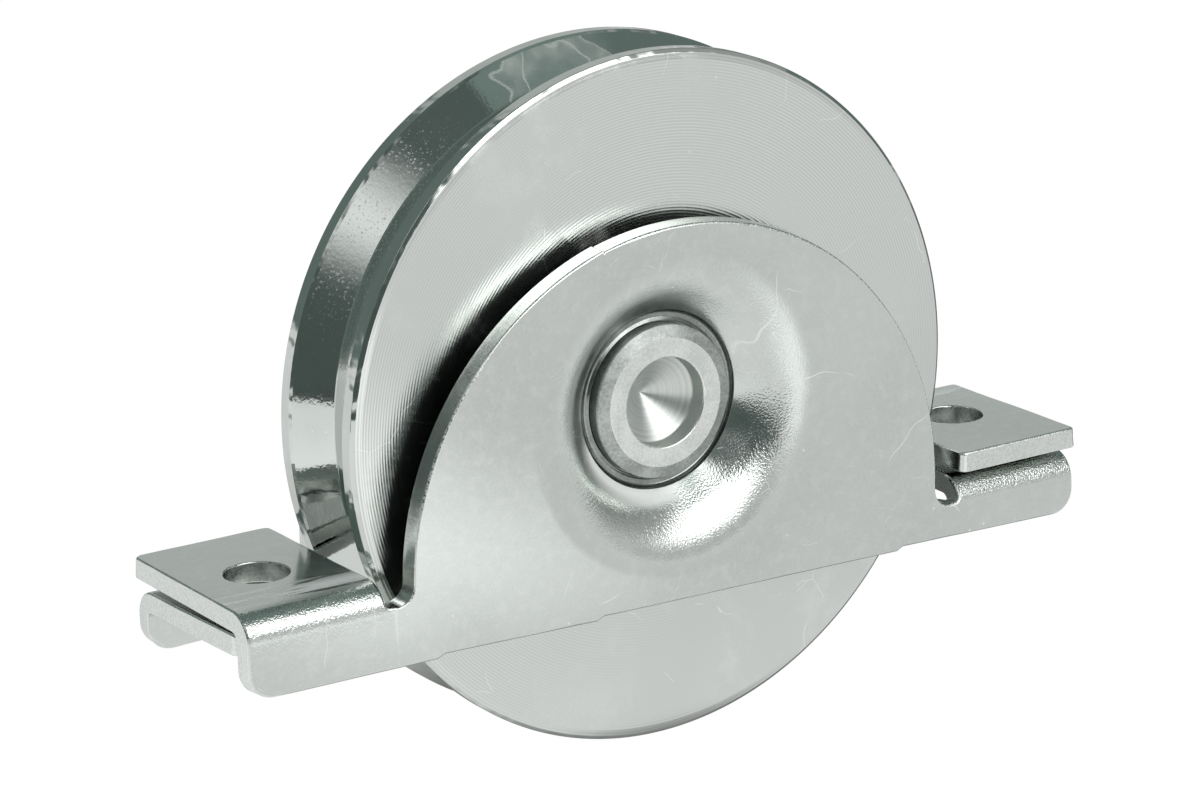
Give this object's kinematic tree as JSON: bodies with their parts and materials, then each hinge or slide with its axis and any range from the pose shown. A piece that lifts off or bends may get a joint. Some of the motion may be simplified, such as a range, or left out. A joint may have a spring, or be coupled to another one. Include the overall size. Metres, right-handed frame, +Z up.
{
  "type": "gate wheel in bracket",
  "caption": "Zinc-plated steel gate wheel with a vee-sided rim groove, on a ball bearing and riveted pin between two stamped brackets with folded, bolt-down ears.",
  "frame": {"origin": "the wheel's centre on the axle, which is the middle of the whole part's box", "axes": "+Y along the axle, from the front bracket to the rear one; +X along the bracket towards the front bracket's low ear; +Z up, so the wheel runs on a rail below"},
  "size_m": [0.141, 0.0336, 0.1],
  "materials": {
    "bracket_zinc": "bright zinc plated sheet steel, fine scratches",
    "wheel_zinc": "bright zinc plated, fine turning lines",
    "pin_zinc": "bright zinc plated, turned and riveted",
    "spring_steel": "dark phosphated spring steel",
    "bearing_steel": "ground bearing steel",
    "pressed_steel": "bright pressed sheet steel",
    "ball_steel": "polished bearing balls"
  },
  "bodies": {
    "bracket": {"front_bracket": "bracket_zinc", "rear_bracket": "bracket_zinc", "axle_pin": "pin_zinc", "bearing_inner_ring": "bearing_steel"},
    "wheel": {"wheel": "wheel_zinc", "retaining_ring": "spring_steel", "bearing_outer_ring": "bearing_steel", "front_shield": "pressed_steel", "rear_shield": "pressed_steel"},
    "ball_cage": {"cage_front_half": "pressed_steel", "cage_rear_half": "pressed_steel", "cage_rivets": "pressed_steel", "ball_1": "ball_steel", "ball_2": "ball_steel", "ball_3": "ball_steel", "ball_4": "ball_steel", "ball_5": "ball_steel", "ball_6": "ball_steel", "ball_7": "ball_steel", "ball_8": "ball_steel"}
  },
  "joints": [
    {"name": "wheel_spin", "type": "hinge", "parent": "bracket", "child": "wheel", "pos_m": [0, 0, 0], "axis": [0, 1, 0], "continuous": true},
    {"name": "cage_spin", "type": "hinge", "parent": "bracket", "child": "ball_cage", "pos_m": [0, 0, 0], "axis": [0, 1, 0], "continuous": true}
  ],
  "couplings": [
    {"joint": "cage_spin", "follows": "wheel_spin", "ratio": 0.6185}
  ]
}
